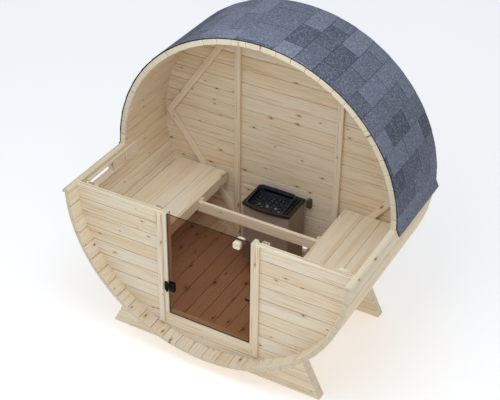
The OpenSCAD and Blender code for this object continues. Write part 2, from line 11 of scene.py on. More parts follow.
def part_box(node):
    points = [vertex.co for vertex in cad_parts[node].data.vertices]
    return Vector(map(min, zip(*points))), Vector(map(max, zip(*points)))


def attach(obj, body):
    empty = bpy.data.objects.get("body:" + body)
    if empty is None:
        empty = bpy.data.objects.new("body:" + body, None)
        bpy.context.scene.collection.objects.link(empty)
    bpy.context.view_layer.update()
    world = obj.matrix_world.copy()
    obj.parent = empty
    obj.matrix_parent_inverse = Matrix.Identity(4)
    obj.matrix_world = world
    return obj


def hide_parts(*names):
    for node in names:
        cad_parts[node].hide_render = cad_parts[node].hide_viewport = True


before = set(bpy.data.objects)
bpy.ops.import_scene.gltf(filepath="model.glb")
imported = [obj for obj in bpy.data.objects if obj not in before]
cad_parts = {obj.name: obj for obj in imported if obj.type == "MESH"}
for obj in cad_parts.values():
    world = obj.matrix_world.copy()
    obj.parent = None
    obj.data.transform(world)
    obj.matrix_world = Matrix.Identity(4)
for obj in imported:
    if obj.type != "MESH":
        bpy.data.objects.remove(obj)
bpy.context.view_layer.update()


# Cradles: the two feet of the barrel. Each is a stack of spruce planks laid on edge and glued, sawn to
# leaning ends and hollowed on top to the flats of the staves, which lie in it by their own weight.
MM = 0.001
hair = 1e-6  # A length that counts as none
sideways, lengthways, upwards = Vector((1, 0, 0)), Vector((0, 1, 0)), Vector((0, 0, 1))
chance = random.Random(61)
stave_n = 61
stave_pitch = math.tau / stave_n
wall_low, wall_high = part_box("front_wall_left")
axis_z = wall_high.z
r_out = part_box("staves_crown")[1].z - axis_z
plank_joints = (0, 54 * MM, 126 * MM, 198 * MM, 270 * MM, 342 * MM)
plank_gap = 1 * MM
plank_bevel = 2 * MM
saddle_clear = 0.3 * MM
saddle_r = (r_out + saddle_clear) / math.cos(stave_pitch / 2)


def linear(colour):
    """Linear colour of an sRGB hex value."""
    channels = [int(colour[i:i + 2], 16) / 255 for i in (1, 3, 5)]
    return [c / 12.92 if c <= 0.04045 else ((c + 0.055) / 1.055) ** 2.4 for c in channels] + [1.0]


def add(material, kind, inputs=None, **settings):
    """Adds a node to a material, with its settings, and with values or links on its inputs. A link comes
    from an output that is given, or from the first one of a node that is given."""
    node = material.node_tree.nodes.new("ShaderNode" + kind)
    for name, value in settings.items():
        setattr(node, name, value)
    for socket, value in (inputs or {}).items():
        if isinstance(value, bpy.types.Node):
            value = value.outputs[0]
        if isinstance(value, bpy.types.NodeSocket):
            material.node_tree.links.new(value, node.inputs[socket])
        else:
            node.inputs[socket].default_value = value
    return node


def finish_of(name, roughness, **values):
    """A new material, and its shader with the values that are the same all over."""
    material = bpy.data.materials.new(name)
    material.use_nodes = True
    shader = material.node_tree.nodes["Principled BSDF"]
    shader.inputs["Roughness"].default_value = roughness
    for socket, value in values.items():
        shader.inputs[socket.replace("_", " ")].default_value = value
    return material, shader


def planed_spruce(name, marked=True, clear=0.42, striped=0.5, knot_size=8 * MM,
                  shades=("#eddec5", "#e8d3b1")):
    """Planed spruce: pale straw wood with soft honey streaks, faint late wood and small brown knots. Clear is
    the share of its face without knots, and striped is how strongly its late wood and veins show."""
    pale, straw, honey, late_wood, vein_brown, sawn_grey, knot_rim, knot_heart = (
        linear(shade) for shade in shades + (
            "#cda469", "#c79d5f", "#c0904c", "#c8b99e", "#b0793c", "#4a2815"))
    # Year rings are 2 to 4 mm apart in the real wood, drawn at 11 mm to show in the render
    ring_gap = 11 * MM
    drift = (900 * MM, 60 * MM, 60 * MM)
    streak = (420 * MM, 9 * MM, 9 * MM)
    vein = (300 * MM, 7 * MM, 7 * MM)
    sway_by, swell_by, raised = 34 * MM, 7 * MM, 0.6 * MM
    knot_cell = (205 * MM, 92 * MM)
    least_knot = 0.1 * MM
    knot_length, tail_length = 1.4, 2.6
    sawn_share, rim_share = 0.6, 0.5
    spruce, shader = finish_of(name, 0.6, Specular_IOR_Level=0.3)
    if marked:
        grain = add(spruce, "Attribute", attribute_name="grain").outputs["Vector"]
        tone = add(spruce, "Attribute", attribute_name="tone").outputs["Fac"]
        end_grain = add(spruce, "Attribute", attribute_name="end_grain").outputs["Fac"]
    else:
        grain = add(spruce, "TexCoord").outputs["Object"]
        tone, end_grain = 0.5, 0.0

    # Knots: at most one to a cell of the board's face, and the less lucky cells have none
    cells = add(spruce, "VectorMath", {
        0: grain, 1: (1 / knot_cell[0], 1 / knot_cell[1], 0)}, operation="MULTIPLY")
    nearest = add(spruce, "TexVoronoi", {
        "Vector": cells, "Scale": 1.0, "Randomness": 0.85}, voronoi_dimensions="2D")
    away = add(spruce, "VectorMath", {0: cells, 1: nearest.outputs["Position"]}, operation="SUBTRACT")
    luck = add(spruce, "SeparateColor", {0: nearest.outputs["Color"]})
    size = add(spruce, "MapRange", {
        "Value": luck.outputs[0], "From Min": clear, "From Max": 1.0, "To Min": least_knot,
        "To Max": knot_size})
    shares = []
    for length in (knot_length, tail_length):
        in_metres = add(spruce, "VectorMath", {
            0: away, 1: (knot_cell[0] / length, knot_cell[1], 0)}, operation="MULTIPLY")
        distance = add(spruce, "VectorMath", {0: in_metres}, operation="LENGTH")
        shares.append(add(spruce, "Math", {0: distance.outputs["Value"], 1: size}, operation="DIVIDE"))
    heart = add(spruce, "MapRange", {
        "Value": shares[0], "From Min": 1.0, "From Max": 0.4, "To Max": 0.8}, interpolation_type="SMOOTHSTEP")
    rim = add(spruce, "MapRange", {
        "Value": shares[1], "From Min": 2.0, "From Max": 0.5}, interpolation_type="SMOOTHSTEP")

    # Slow drift along the log, fine fibres and veins: noise that is drawn out along the grain
    sway, fine, veins = (
        add(spruce, "TexNoise", {"Scale": 1.0, "Detail": detail, "Vector": add(spruce, "VectorMath", {
            0: grain, 1: tuple(1 / way for way in patch)}, operation="MULTIPLY")})
        for patch, detail in ((drift, 2.0), (streak, 4.0), (vein, 1.0)))

    # Year rings about the pith, bent by the drift and round the knots
    shift = add(spruce, "VectorMath", {
        0: sway.outputs["Color"], 1: (0, sway_by, sway_by)}, operation="MULTIPLY")
    bent = add(spruce, "VectorMath", {0: grain, 1: shift}, operation="ADD")
    swell = add(spruce, "VectorMath", {0: (0, 0, swell_by), 3: rim}, operation="SCALE")
    round_knots = add(spruce, "VectorMath", {0: bent, 1: swell}, operation="ADD")
    rings = add(spruce, "TexWave", {
        "Vector": round_knots, "Scale": math.tau / 20 / ring_gap, "Distortion": 0.6, "Detail": 1.0,
        "Detail Scale": 0.4}, wave_type="RINGS", rings_direction="X", wave_profile="SAW")
    late = add(spruce, "MapRange", {"Value": rings.outputs["Fac"], "From Min": 0.45, "From Max": 1.0})
    patchy = add(spruce, "MapRange", {
        "Value": fine.outputs["Fac"], "From Min": 0.35, "From Max": 0.75, "To Max": striped})
    lines = add(spruce, "Math", {0: late, 1: patchy}, operation="MULTIPLY")

    # Colour: pale or straw by board, then honey by drift, late wood, veins, end grain and knots
    warm = add(spruce, "MapRange", {
        "Value": sway.outputs["Fac"], "From Min": 0.52, "From Max": 0.85, "To Max": 0.5})
    veined = add(spruce, "MapRange", {
        "Value": veins.outputs["Fac"], "From Min": 0.6, "From Max": 0.74, "To Max": 1.3 * striped})
    sawn = add(spruce, "Math", {0: end_grain, 1: sawn_share}, operation="MULTIPLY")
    rimmed = add(spruce, "Math", {0: rim, 1: rim_share}, operation="MULTIPLY")
    colour = add(spruce, "MixRGB", {"Fac": tone, "Color1": pale, "Color2": straw})
    for share, shade in ((warm, honey), (lines, late_wood), (veined, vein_brown), (sawn, sawn_grey),
                         (rimmed, knot_rim), (heart, knot_heart)):
        colour = add(spruce, "MixRGB", {"Fac": share, "Color1": colour, "Color2": shade})
    spruce.node_tree.links.new(colour.outputs[0], shader.inputs["Base Color"])
    relief = add(spruce, "Math", {0: fine.outputs["Fac"], 1: lines}, operation="ADD")
    bump = add(spruce, "Bump", {"Height": relief, "Strength": 0.12, "Distance": raised})
    spruce.node_tree.links.new(bump.outputs[0], shader.inputs["Normal"])
    return spruce


spruce = planed_spruce("planed_spruce")


def mark_grain(board):
    """Notes at each corner of a board where in its log it was sawn, and how dark its wood is."""
    log_l, aside_mm, pith_mm = 30, 45, (30, 95)
    grain = board.verts.layers.float_vector.new("grain")
    tone = board.verts.layers.float.new("tone")
    ends = board.faces.layers.float.new("end_grain")
    side = chance.choice((-1, 1))
    from_pith = Vector((
        chance.uniform(-log_l, log_l), chance.uniform(-aside_mm, aside_mm) * MM,
        side * chance.uniform(*pith_mm) * MM))
    shade = chance.uniform(0.1, 0.9)
    board.normal_update()
    for corner in board.verts:
        corner[grain] = corner.co + from_pith
        corner[tone] = shade
    for face in board.faces:
        face[ends] = float(abs(face.normal.x) > 0.9)


def break_edges(board, edges, size, segments=1):
    """Planes off or rounds edges of a board."""
    bmesh.ops.bevel(
        board, geom=edges, offset=size, offset_type="OFFSET", segments=segments, profile=0.5,
        affect="EDGES", material=-1)


def pull(piece, faces, move):
    """Pulls flat faces out into a solid, or into one, and gives back the corners that moved."""
    raised = bmesh.ops.extrude_face_region(piece, geom=faces)["geom"]
    corners = [v for v in raised if isinstance(v, bmesh.types.BMVert)]
    bmesh.ops.translate(piece, vec=move, verts=corners)
    return corners


def drawn_out(points, move):
    """A solid drawn out of a flat outline, and the corners at its far end."""
    solid = bmesh.new()
    outline = solid.faces.new([solid.verts.new(point) for point in points])
    far = pull(solid, [outline], move)
    bmesh.ops.recalc_face_normals(solid, faces=solid.faces)
    return solid, far


def outlined_board(points, thickness, bevel, shortest=0.0):
    """A board sawn to an outline, its grain along X and its face to +Z, planed on all edges over a length."""
    board, _ = drawn_out([(x, y, -thickness / 2) for x, y in points], (0, 0, thickness))
    break_edges(board, [edge for edge in board.edges if edge.calc_length() > shortest], bevel)
    mark_grain(board)
    return board


def facing(centre, along, out):
    """Where a board goes: its middle, the direction of its grain and the way its face looks."""
    along, out = Vector(along), Vector(out)
    return Matrix.Translation(centre) @ Matrix((along, out.cross(along), out)).transposed().to_4x4()


def score(board, point, normal, **cut):
    """Cuts the mesh of a board along a plane."""
    everything = board.verts[:] + board.edges[:] + board.faces[:]
    return bmesh.ops.bisect_plane(
        board, geom=everything, dist=hair / 10, plane_co=point, plane_no=normal, **cut)


def saw(board, point, normal):
    """Saws off what lies beyond a plane, and closes the cut."""
    if all((corner.co - point).dot(normal) < hair for corner in board.verts):
        return
    cut = score(board, point, normal, clear_outer=True)
    rim = [edge for edge in cut["geom_cut"] if isinstance(edge, bmesh.types.BMEdge)]
    bmesh.ops.holes_fill(board, edges=rim, sides=0)


def lay(piece, board, place=Matrix.Identity(4), cuts=()):
    """Moves a board to its place, saws it off at planes, and adds it to a piece."""
    bmesh.ops.transform(board, matrix=place, verts=board.verts)
    for point, normal in cuts:
        saw(board, point, normal)
    scrap = bpy.data.meshes.new("scrap")
    board.to_mesh(scrap)
    board.free()
    piece.from_mesh(scrap)
    bpy.data.meshes.remove(scrap)


def stand(name, piece, finishes):
    """Makes an object of a finished mesh."""
    mesh = bpy.data.meshes.new(name)
    piece.to_mesh(mesh)
    piece.free()
    for finish in finishes:
        mesh.materials.append(finish)
    thing = bpy.data.objects.new(name, mesh)
    bpy.context.scene.collection.objects.link(thing)
    return thing


def show(word, node, piece, finishes=(spruce,), body="barrel"):
    """Shows a finished mesh in place of a node, named for it, riding on its body."""
    thing = stand(f"{word}_{node}", piece, finishes)
    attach(thing, body)
    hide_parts(node)


def saddle(z0, z1):
    """Corners of the barrel's outside, right of the middle, that lie between two heights, from the top."""
    corners = [(saddle_r * math.sin(k * stave_pitch), axis_z - saddle_r * math.cos(k * stave_pitch))
               for k in range(stave_n // 4)]
    return [corner for corner in reversed(corners) if z0 < corner[1] < z1]


def saddle_x(z):
    """How far from the middle the barrel's outside lies at a height."""
    return math.sqrt(max(saddle_r ** 2 - (axis_z - z) ** 2, 0))


for name in ("front_cradle", "rear_cradle"):
    low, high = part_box(name)
    lean = (high.x - saddle_x(high.z)) / (high.z - low.z)
    middle_y, thick = (low.y + high.y) / 2, high.y - low.y
    barrel_bottom = axis_z - r_out
    cradle = bmesh.new()
    for z0, z1 in zip(plank_joints, plank_joints[1:]):
        z1 = min(z1, high.z) - plank_gap
        end0, end1 = high.x - lean * z0, high.x - lean * z1
        right = [(saddle_x(z1), z1)] + saddle(z0, z1)
        if z1 <= barrel_bottom:
            outlines = [[(-end0, z0), (end0, z0), (end1, z1), (-end1, z1)]]
        elif z0 < barrel_bottom:
            left = [(-x, z) for x, z in reversed(right)]
            outlines = [[(-end0, z0), (end0, z0), (end1, z1)] + right + left + [(-end1, z1)]]
        else:
            half = [(saddle_x(z0), z0), (end0, z0), (end1, z1)] + right
            outlines = [half, [(-x, z) for x, z in reversed(half)]]
        for outline in outlines:
            plank = outlined_board(outline, thick, plank_bevel)
            lay(cradle, plank, facing((0, middle_y, 0), sideways, -lengthways))
    show("plank", name, cradle)


# Lower staves: flat spruce boards that run the whole length of the barrel, planed to a taper so that they
# close to a ring. Each has a tongue in the next, and small bevels leave a groove along every joint.
front_y, rear_y = (corner.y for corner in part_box("staves_bottom_right"))
cut_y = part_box("staves_crown")[0].y
wall_inner, back_inner = wall_high.y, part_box("back_wall_lower")[0].y
both_sides = ((1, "right"), (-1, "left"))
stave_t = 38 * MM
stave_bevel = 3 * MM
stave_joint = 3 * MM
tongue_w, tongue_t = 14 * MM, 10 * MM
tongue_short = 14 * MM
r_in = r_out - stave_t
half_stave = r_out * math.tan(stave_pitch / 2)


def block(size):
    """A plain block round the origin."""
    solid = bmesh.new()
    bmesh.ops.create_cube(solid, size=1.0)
    bmesh.ops.scale(solid, vec=size, verts=solid.verts)
    return solid


def new_board(length, width, thickness, bevel=plank_bevel, taper=1.0):
    """A planed board round the origin, its grain along X and its face to +Z, narrower behind by a taper."""
    board = block((length, width, thickness))
    behind = [corner for corner in board.verts if corner.co.z < 0]
    bmesh.ops.scale(board, vec=(1, taper, 1), verts=behind)
    break_edges(board, board.edges[:], bevel)
    mark_grain(board)
    return board


def stave_angle(k, side):
    """Direction of a stave's middle from the barrel axis, counted from the bottom on the right or left."""
    angle = math.radians(270) + (k + 0.5) * stave_pitch
    return angle if side > 0 else math.pi - angle


def outward(angle):
    """The direction away from the barrel axis at an angle."""
    return Vector((math.cos(angle), 0, math.sin(angle)))


def ring_place(angle, radius, y):
    """Where a board goes that lies along the barrel, by its angle, its radius and its place along it."""
    out = outward(angle)
    return facing(Vector((0, y, axis_z)) + out * radius, lengthways, out)


def stave_place(angle, y0, y1):
    """Where a board goes that lies in the ring of staves, from one place to another along the barrel."""
    return ring_place(angle, r_in + stave_t / 2, (y0 + y1) / 2)


def new_stave(y0, y1):
    """A stave of the ring, tapered to the inside, with room for its joints."""
    return new_board(y1 - y0, 2 * half_stave - stave_joint, stave_t, stave_bevel, r_in / r_out)


def add_tongue(piece, k, side, y0, y1):
    """Adds the tongue in the upper joint of a stave, which stops short of the ends."""
    tongue = new_board(y1 - y0 - 2 * tongue_short, tongue_w, tongue_t)
    lay(piece, tongue, stave_place(stave_angle(k + 0.5, side), y0, y1))


def open_window(board, x0, x1, y0, y1):
    """Cuts a window through a board and lines it."""
    for point, normal in (((x0, 0, 0), (1, 0, 0)), ((x1, 0, 0), (1, 0, 0)),
                          ((0, y0, 0), (0, 1, 0)), ((0, y1, 0), (0, 1, 0))):
        score(board, point, normal)
    inside = [face for face in board.faces
              if x0 < face.calc_center_median().x < x1 and y0 < face.calc_center_median().y < y1]
    bmesh.ops.delete(board, geom=inside, context="FACES")
    open_edges = [edge for edge in board.edges if len(edge.link_faces) == 1]
    bmesh.ops.bridge_loops(board, edges=open_edges)
    bmesh.ops.recalc_face_normals(board, faces=board.faces)


def mark_shaded_floor(board):
    """Marks the face of a stave between the end walls, where it is the floor and gets the painted brown
    shade.
    """
    middle_y = (front_y + rear_y) / 2
    for wall_y in (wall_inner, back_inner):
        score(board, (wall_y - middle_y, 0, 0), (1, 0, 0))
    board.normal_update()
    for face in board.faces:
        indoors = wall_inner < face.calc_center_median().x + middle_y < back_inner
        face.material_index = int(indoors and face.normal.z < -0.5)


# Floor boards: the same spruce from knottier logs, with dark knots up to some 30 mm across. Inside the
# cabin their face is a deeper brown: painted shade, which stands in for the brown shade and the light tinted
# by the door's glass.
knotty_spruce = planed_spruce("knotty_planed_spruce", clear=0.15, knot_size=11 * MM)
shade_brown_spruce = planed_spruce(
    "shade_brown_spruce", clear=0.1, knot_size=15 * MM, shades=("#e0bc97", "#d7b08a"))
vent_low, vent_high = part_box("vent_cover")
vent_l = vent_high.y - vent_low.y
vent_y0, vent_y1 = vent_low.y - vent_l, vent_low.y
vent_stave = 14
vent_gap = 7 * MM
guide_h = 11 * MM
running = 0.3 * MM
vent_h = 2 * (r_in * math.tan(stave_pitch / 2) - stave_bevel - guide_h - running)
for group, first, after, finishes in (
        ("bottom", 0, 5, [knotty_spruce, shade_brown_spruce]), ("lower", 5, 10, [spruce, shade_brown_spruce]),
        ("side", 10, 15, [spruce])):
    for side, side_name in both_sides:
        staves = bmesh.new()
        for k in range(first, after):
            stave = new_stave(front_y, rear_y)
            if side < 0 and k == vent_stave:
                open_window(stave, vent_y0, vent_y1, -vent_h / 2, vent_h / 2)
                saw(stave, Vector((0, half_stave - vent_gap, 0)), Vector((0, 1, 0)))
            # The floor faces inside the cabin take the finish with the painted brown shade
            if shade_brown_spruce in finishes:
                mark_shaded_floor(stave)
            lay(staves, stave, stave_place(stave_angle(k, side), front_y, rear_y))
            add_tongue(staves, k, side, front_y, rear_y)
        if group == "bottom" and side > 0:
            add_tongue(staves, -1, side, front_y, rear_y)
        show("spruce", f"staves_{group}_{side_name}", staves, finishes)


# Eave staves: the two at the height of the axis, full boards behind and sawn off level in the open front
# half, where they make the barrel's rim. A lip along the lower edge of each leads the rain off.
lip_t, lip_h = 18 * MM, 42 * MM
lip_top = lip_h - half_stave
lip_foot = (r_out + lip_t) * math.tan(stave_pitch / 2)


def moulding(points, length):
    """A strip of one profile, its grain along X, the profile's points across it and out of its face."""
    strip, _ = drawn_out([(-length / 2, y, z) for y, z in points], (length, 0, 0))
    mark_grain(strip)
    return strip


def saw_step(board):
    """Takes off what lies in front of the roofed part and above the axis, and closes the step."""
    for point, normal in ((cut_y * lengthways, lengthways), (axis_z * upwards, upwards)):
        score(board, point, normal)
    gone = [face for face in board.faces
            if face.calc_center_median().y < cut_y and face.calc_center_median().z > axis_z]
    bmesh.ops.delete(board, geom=gone, context="FACES")
    edge_of_cut = [v for v in board.verts if any(len(edge.link_faces) == 1 for edge in v.link_edges)]
    level = [v for v in edge_of_cut if abs(v.co.z - axis_z) < hair]
    upright = [v for v in edge_of_cut if abs(v.co.y - cut_y) < hair]
    bmesh.ops.contextual_create(board, geom=level)
    bmesh.ops.contextual_create(board, geom=upright)
    bmesh.ops.recalc_face_normals(board, faces=board.faces)


for side, side_name in both_sides:
    eave = bmesh.new()
    place = stave_place(stave_angle(vent_stave + 1, side), front_y, rear_y)
    stave = new_stave(front_y, rear_y)
    lip = moulding(
        [(side * (stave_joint / 2 - half_stave), stave_t / 2 - stave_bevel),
         (side * (stave_joint / 2 - lip_foot), stave_t / 2 + lip_t),
         (side * lip_top, stave_t / 2)], rear_y - front_y)
    for board in (stave, lip):
        bmesh.ops.transform(board, matrix=place, verts=board.verts)
        saw_step(board)
        lay(eave, board)
    add_tongue(eave, vent_stave + 1, side, cut_y, rear_y)
    show("spruce", "stave_cut_" + side_name, eave)


# End walls: level spruce boards, tongued together, with a small groove at each joint. Their ends sit in the
# staves. The front wall stops at the axis, where the groove of its top board lies open.
wall_t = 38 * MM
wall_pitch = 102.5 * MM
wall_joint = 3 * MM
wall_bevel = 3 * MM
jamb_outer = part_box("front_wall_right")[0].x
rough_drop = axis_z - wall_low.z
groove_w = 6 * MM
groove_deep = 7 * MM
in_staves = [
    (Vector((math.cos(a) * r_in, 0, axis_z + math.sin(a) * r_in)), outward(a))
    for a in (stave_angle(k, 1) for k in range(stave_n))]


def wall_board(piece, x0, x1, drop0, drop1, wall_y):
    """Adds a level board between two sideways limits and two depths under the axis."""
    board = new_board(x1 - x0, drop1 - drop0 - wall_joint, wall_t, wall_bevel)
    centre = ((x0 + x1) / 2, wall_y, axis_z - (drop0 + drop1 - wall_joint) / 2)
    lay(piece, board, facing(centre, sideways, -lengthways), in_staves)


def wall_tongue(piece, x0, x1, drop, wall_y):
    """Adds the tongue in the joint of two boards at a depth under the axis."""
    tongue = new_board(x1 - x0, tongue_w, tongue_t)
    centre = ((x0 + x1) / 2, wall_y, axis_z - drop + wall_joint / 2)
    lay(piece, tongue, facing(centre, sideways, -lengthways), in_staves)


def joints_between(drop0, drop1):
    """Depths of the board joints between two depths, with both of these."""
    first, last = math.floor(drop0 / wall_pitch) + 1, math.ceil(drop1 / wall_pitch)
    inner = [k * wall_pitch for k in range(first, last) if drop0 < k * wall_pitch < drop1]
    depths = [drop0] + inner + [drop1]
    return list(zip(depths, depths[1:]))


def sink_tops(piece, sides, border, deep):
    """Sinks a hollow into each level top at the height of the axis, on one side of the barrel or both."""
    piece.normal_update()
    tops = [face for face in piece.faces
            if face.normal.z > 0.99 and abs(face.calc_center_median().z - axis_z) < 10 * hair
            and math.copysign(1, face.calc_center_median().x) in sides]
    for top in tops:
        bmesh.ops.inset_region(piece, faces=[top], thickness=border)
        pull(piece, [top], (0, 0, -deep))
        bmesh.ops.delete(piece, geom=[top], context="FACES_ONLY")


front_middle = (wall_low.y + wall_high.y) / 2
for side, side_name in both_sides:
    wall = bmesh.new()
    x0, x1 = sorted((side * jamb_outer, side * r_out))
    for drop0, drop1 in joints_between(0, rough_drop):
        wall_board(wall, x0, x1, drop0, drop1, front_middle)
        wall_tongue(wall, x0, x1, drop1, front_middle)
    sink_tops(wall, (side,), (wall_t - 2 * wall_bevel - groove_w) / 2, groove_deep)
    show("boards", "front_wall_" + side_name, wall)
wall = bmesh.new()
for drop0, drop1 in joints_between(rough_drop, r_out):
    wall_board(wall, -r_out, r_out, drop0, drop1, front_middle)
    wall_tongue(wall, -r_out, r_out, drop1, front_middle)
show("boards", "front_wall_bottom", wall)

# The air hole goes through two boards of the back wall, which are sawn to its arc
hole_r = 50 * MM
hole_x = 136 * MM
hole_drop = 785 * MM
hole_steps = 24


def holed_board(piece, drop0, drop1):
    """Adds a back board with its part of the round air hole sawn out of its edge."""
    drop1 -= wall_joint
    from_below = hole_drop > (drop0 + drop1) / 2
    edge = drop1 if from_below else drop0
    reach = math.asin((hole_drop - edge) / hole_r)
    start, end = (math.pi - reach, reach) if from_below else (reach, -math.pi - reach)
    notch = [(hole_x + hole_r * math.cos(a), hole_r * math.sin(a) - hole_drop)
             for a in (start + (end - start) * step / hole_steps for step in range(hole_steps + 1))]
    if from_below:
        outline = [(-r_out, -drop1)] + notch + [(r_out, -drop1), (r_out, -drop0), (-r_out, -drop0)]
    else:
        outline = [(-r_out, -drop1), (r_out, -drop1), (r_out, -drop0)] + notch + [(-r_out, -drop0)]
    board = outlined_board(outline, wall_t, wall_bevel, r_out / 2)
    lay(piece, board, facing((0, back_middle, axis_z), sideways, -lengthways), in_staves)


back_middle = back_inner + wall_t / 2
for half, drop0, drop1 in (("lower", 0, r_out), ("upper", -r_out, 0)):
    wall = bmesh.new()
    for top, bottom in joints_between(drop0, drop1):
        if top < hole_drop + hole_r and bottom > hole_drop - hole_r:
            holed_board(wall, top, bottom)
        else:
            wall_board(wall, -r_out, r_out, top, bottom, back_middle)
        if top < hole_drop < bottom:
            wall_tongue(wall, -r_out, hole_x - hole_r, bottom, back_middle)
            wall_tongue(wall, hole_x + hole_r, r_out, bottom, back_middle)
        else:
            wall_tongue(wall, -r_out, r_out, bottom, back_middle)
    show("boards", "back_wall_" + half, wall)


# Battens and braces: spruce laths screwed to the inner faces of the end walls. They keep the boards in
# line. At the cut the front ones show dark hollows in their tops, apart from the right brace.
lath_t = 25 * MM
batten_x = (365 * MM, 410 * MM)
brace_w, brace_l = 46 * MM, 1.6 * r_in
meet_up = 41 * MM
brace_meet = Vector((r_in - brace_w, 0, axis_z + meet_up))
brace_up, brace_down = math.radians(55.6), math.radians(53.1)
hollow_rim = 3 * MM
hollow_deep = 200 * MM
level_cut = (axis_z * upwards, upwards)
meet_above, meet_below = (brace_meet, -upwards), (brace_meet, upwards)


def mirrored(vector, side):
    """A vector for the right side of the barrel, or its mirror image for the left."""
    return Vector((side * vector[0], vector[1], vector[2]))


def add_batten(piece, side, wall_y, out, cuts):
    """Adds an upright batten on the inner face of an end wall."""
    centre = Vector((side * sum(batten_x) / 2, wall_y + out * lath_t / 2, axis_z))
    lath = new_board(2 * r_out, batten_x[1] - batten_x[0], lath_t)
    lay(piece, lath, facing(centre, upwards, out * lengthways), in_staves + cuts)


def add_brace(piece, side, wall_y, out, slope, cuts):
    """Adds a slanting brace from the staves to the batten."""
    along = Vector((-math.cos(slope), 0, math.sin(slope)))
    centre = brace_meet + along * (brace_l / 2 - brace_w)
    centre.y = wall_y + out * lath_t / 2
    lath = new_board(brace_l, brace_w, lath_t)
    past_batten = (mirrored((batten_x[1], 0, 0), side), mirrored((-1, 0, 0), side))
    place = facing(mirrored(centre, side), mirrored(along, side), out * lengthways)
    lay(piece, lath, place, in_staves + [past_batten] + cuts)


for node in ("back_battens", "front_battens", "back_braces_high", "back_braces_low", "front_braces"):
    laths = bmesh.new()
    in_front = node.startswith("front")
    wall_y, out = (wall_inner, 1) if in_front else (back_inner, -1)
    for side in (1, -1):
        if "battens" in node:
            add_batten(laths, side, wall_y, out, [level_cut] if in_front else [])
        elif "high" in node:
            add_brace(laths, side, wall_y, out, brace_up, [meet_above])
        else:
            add_brace(laths, side, wall_y, out, -brace_down, [level_cut if in_front else meet_below])
    if in_front:
        sink_tops(laths, (1, -1) if "battens" in node else (-1,), hollow_rim, hollow_deep)
    show("lath", node, laths)


# Door frame: two jambs and a sill of planed spruce set into the front wall, with a cover strip nailed on
# beside each jamb over the ends of the wall boards.
def add_box_board(piece, low, high, along, out, bevel):
    """Adds a board that fills the box between two corners."""
    low, high = Vector(low), Vector(high)
    size = high - low
    board = new_board(abs(size.dot(along)), abs(size.dot(out.cross(along))), abs(size.dot(out)), bevel)
    lay(piece, board, facing((low + high) / 2, along, out))


def show_pair(node, width, along, out, bevel):
    """Shows the two like boards of a node, one at each side of its box, their faces mirrored."""
    low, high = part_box(node)
    pair = bmesh.new()
    for side in (1, -1):
        x0, x1 = sorted((side * (high.x - width), side * high.x))
        add_box_board(pair, (x0, low.y, low.z), (x1, high.y, high.z), along, mirrored(out, side), bevel)
    show("planed", node, pair)


frame_bevel = 3 * MM
jamb_w = 30 * MM
casing_w = 37 * MM
show_pair("door_jambs", jamb_w, upwards, -lengthways, frame_bevel)
sill = bmesh.new()
add_box_board(sill, *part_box("door_sill"), sideways, -lengthways, frame_bevel)
show("planed", "door_sill", sill)
show_pair("casings", casing_w, upwards, -lengthways, frame_bevel)


# Benches: three wide planed boards a side with fine gaps between them, a fascia along the aisle, and
# under their ends bearers on the walls. A rail lies along the staves behind each bench.
bench_gap = 2 * MM
bench_boards = 3
bench_bevel = 1.5 * MM
fascia_t = 20 * MM
side_rail_w, side_rail_t = 44 * MM, 28 * MM
rail_stave = 11
lining_clear = 0.2 * MM
lining = r_in - lining_clear
# Bench wood is picked clear of knots and even, because it is sat on
clear_spruce = planed_spruce("clear_planed_spruce", clear=0.97, striped=0.28)
for side_name in ("right", "left"):
    low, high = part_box("bench_boards_" + side_name)
    board_w = (high.x - low.x - (bench_boards - 1) * bench_gap) / bench_boards
    seat = bmesh.new()
    for i in range(bench_boards):
        x0 = low.x + i * (board_w + bench_gap)
        corner, opposite = (x0, low.y, low.z), (x0 + board_w, high.y, high.z)
        add_box_board(seat, corner, opposite, lengthways, upwards, bench_bevel)
    show("planed", "bench_boards_" + side_name, seat, [clear_spruce])
show_pair("bench_fascias", fascia_t, lengthways, -sideways, bench_bevel)
low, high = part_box("side_rails")
rails = bmesh.new()
for side in (1, -1):
    rail = new_board(high.y - low.y, side_rail_w, side_rail_t)
    place = ring_place(stave_angle(rail_stave, side), lining - side_rail_t / 2, (low.y + high.y) / 2)
    lay(rails, rail, place)
show("planed", "side_rails", rails)


def dress(node, finish):
    """Gives a solid that is shown as it is its finish."""
    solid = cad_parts[node]
    solid.data.materials.clear()
    solid.data.materials.append(finish)


dress("bench_bearers", planed_spruce("sawn_spruce", marked=False))


# Guard rail: one spruce board on edge across the aisle in front of the heater, screwed to the fascias
# through a square cleat behind each end.
cleat = 25 * MM
rail = bmesh.new()
add_box_board(rail, *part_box("guard_rail"), sideways, -lengthways, bench_bevel)
show("planed", "guard_rail", rail)
show_pair("guard_cleats", cleat, upwards, -lengthways, bench_bevel)


# Heater: a steel casing hung on the back wall by a bracket, with a dark top frame, bowed in front and
# slotted on the right, round a raised tray of dark stones.
def mottled(name, roughness, size, colours, **values):
    """A finish whose colour wanders between two values in patches of a size."""
    material, shader = finish_of(name, roughness, **values)
    spot = add(material, "TexCoord").outputs["Object"]
    patches = add(material, "TexNoise", {"Vector": spot, "Scale": 1 / size, "Detail": 3.0}).outputs["Fac"]
    share = add(material, "MapRange", {"Value": patches, "From Min": 0.35, "From Max": 0.65})
    colour = add(material, "MixRGB", {
        "Fac": share, "Color1": linear(colours[0]), "Color2": linear(colours[1])})
    material.node_tree.links.new(colour.outputs[0], shader.inputs["Base Color"])
    relief = add(material, "Bump", {"Height": patches, "Strength": 0.1, "Distance": 0.3 * MM})
    material.node_tree.links.new(relief.outputs[0], shader.inputs["Normal"])
    return material


# Powder coat: an even taupe with an orange-peel of about 1 mm, drawn at 6 mm to show
steel = mottled("taupe_coated_steel", 0.5, 6 * MM, ("#98877a", "#a19083"), Specular_IOR_Level=0.3)
